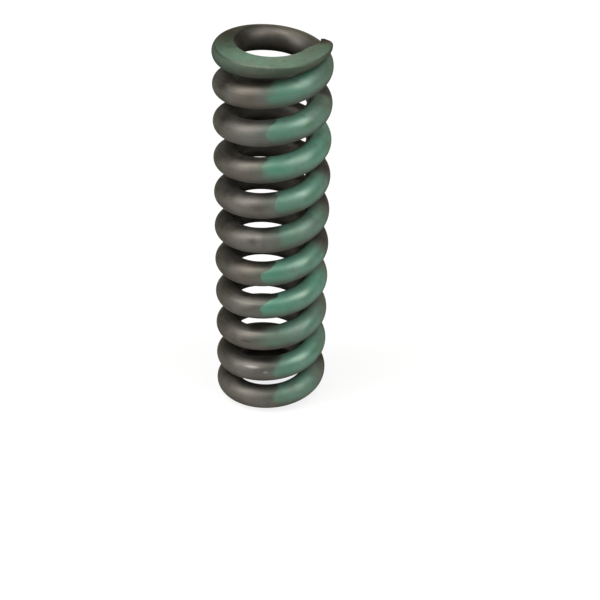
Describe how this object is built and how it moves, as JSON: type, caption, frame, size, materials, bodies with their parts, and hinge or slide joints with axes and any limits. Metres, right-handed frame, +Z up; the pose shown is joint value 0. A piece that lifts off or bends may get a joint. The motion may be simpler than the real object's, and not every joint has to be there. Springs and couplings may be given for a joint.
{
  "type": "helical compression spring",
  "caption": "Right-hand helical compression spring of heavy round steel wire, with closed and ground ends and a green paint mark down one side; it pushes two seats apart.",
  "frame": {"origin": "centre of the lower ground face, on the coil axis", "axes": "+Z up along the coil axis; the upper wire tip lies about ten degrees from +X towards +Y"},
  "size_m": [0.0222, 0.0222, 0.076],
  "materials": {
    "spring_wire": "satin"
  },
  "bodies": {
    "root": {"coil_spring": "spring_wire"}
  },
  "joints": []
}
